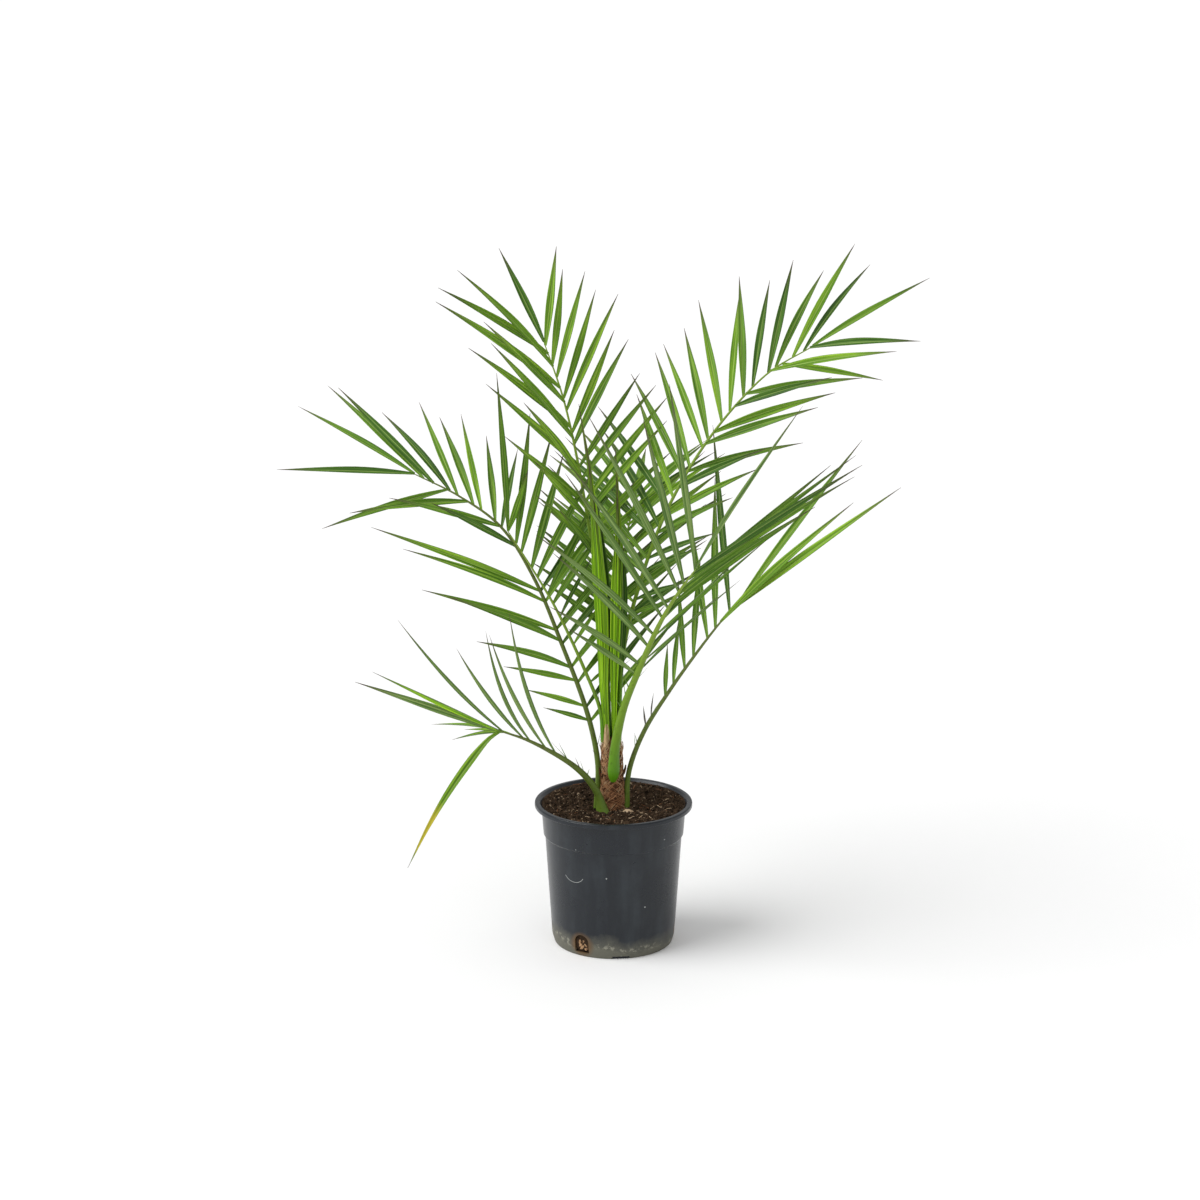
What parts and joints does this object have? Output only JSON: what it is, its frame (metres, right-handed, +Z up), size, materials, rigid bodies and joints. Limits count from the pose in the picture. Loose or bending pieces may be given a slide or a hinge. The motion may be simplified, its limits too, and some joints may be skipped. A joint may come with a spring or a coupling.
{
  "type": "potted date palm",
  "caption": "Young Canary Island date palm in a round nursery pot: a short fibrous stem, arching feather fronds and a pair of folded spear leaves.",
  "frame": {"origin": "middle of the pot's flat underside", "axes": "+Z up, -Y towards the viewer of the picture, +X to the viewer's right"},
  "size_m": [0.7917, 0.5944, 0.8267],
  "materials": {
    "pot_plastic": "satin moulded plastic, scuffed",
    "soil": "dark moist peat with bark chips and fibres",
    "stem_fibre": "brown fibrous sheaths",
    "stalk": "smooth green leaf stalk",
    "leaf": "satin mature leaflets",
    "young_leaf": "satin young leaflets"
  },
  "bodies": {
    "root": {"pot": "pot_plastic", "soil": "soil", "stem": "stem_fibre", "tall_left_frond_stalk": "stalk", "tall_left_frond_blade": "young_leaf", "tall_right_frond_stalk": "stalk", "tall_right_frond_blade": "leaf", "wide_left_frond_stalk": "stalk", "wide_left_frond_lower_blade": "leaf", "wide_left_frond_upper_blade": "leaf", "inner_left_frond_stalk": "stalk", "inner_left_frond_blade": "young_leaf", "front_right_frond_stalk": "stalk", "front_right_frond_blade": "young_leaf", "low_right_frond_stalk": "stalk", "low_right_frond_blade": "leaf", "low_left_frond_stalk": "stalk", "low_left_frond_blade": "leaf", "rear_frond_stalk": "stalk", "rear_frond_blade": "leaf", "left_spear": "young_leaf", "right_spear": "young_leaf", "hanging_leaflet": "leaf"}
  },
  "joints": []
}
